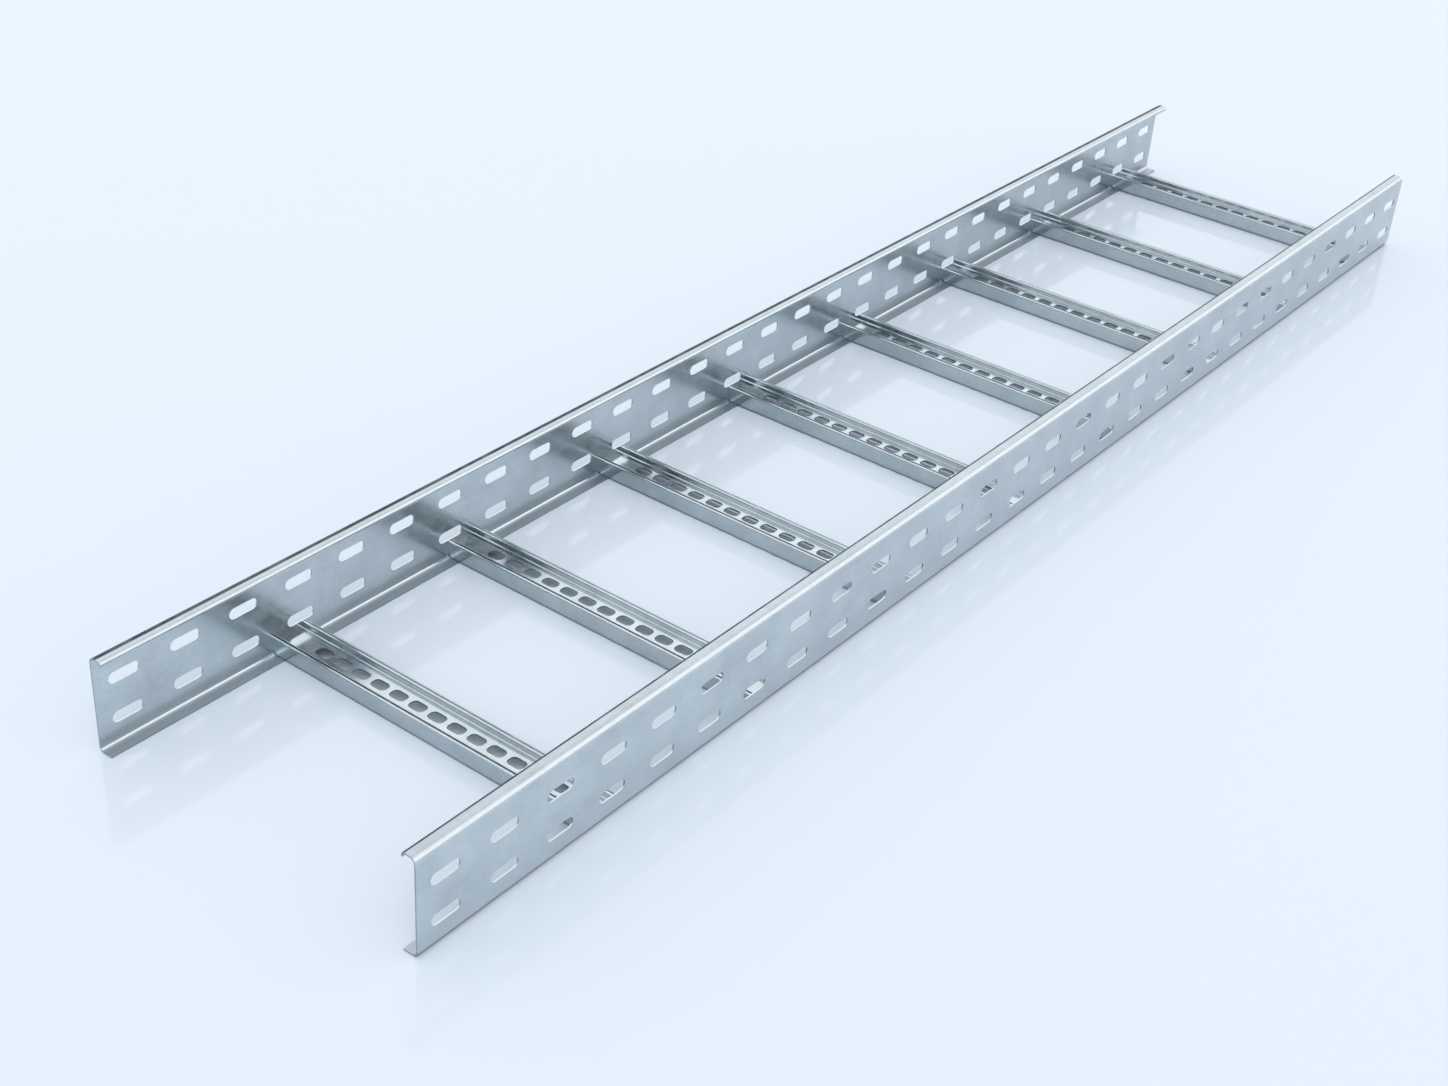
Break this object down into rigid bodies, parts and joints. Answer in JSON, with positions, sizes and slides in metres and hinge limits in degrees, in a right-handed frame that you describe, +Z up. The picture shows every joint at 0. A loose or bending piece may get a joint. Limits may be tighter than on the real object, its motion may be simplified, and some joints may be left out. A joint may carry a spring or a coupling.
{
  "type": "cable ladder section",
  "caption": "Straight cable ladder section of galvanised sheet steel: slotted C-shaped side rails joined by perforated rungs, to carry cables along a wall or ceiling run.",
  "frame": {"origin": "under the middle of the section, on the plane the two rails stand on", "axes": "+X along the rails towards the end with the short run after the last rung, +Y across the rungs towards the left rail, +Z up"},
  "size_m": [2, 0.4, 0.105],
  "materials": {
    "galvanised_rail": "zinc-galvanised sheet, satin, blue-grey",
    "galvanised_rung": "zinc-galvanised sheet, satin, blue-grey"
  },
  "bodies": {
    "root": {"side_rail_right": "galvanised_rail", "side_rail_left": "galvanised_rail", "rung_1": "galvanised_rung", "rung_2": "galvanised_rung", "rung_3": "galvanised_rung", "rung_4": "galvanised_rung", "rung_5": "galvanised_rung", "rung_6": "galvanised_rung", "rung_7": "galvanised_rung", "rung_8": "galvanised_rung"}
  },
  "joints": []
}
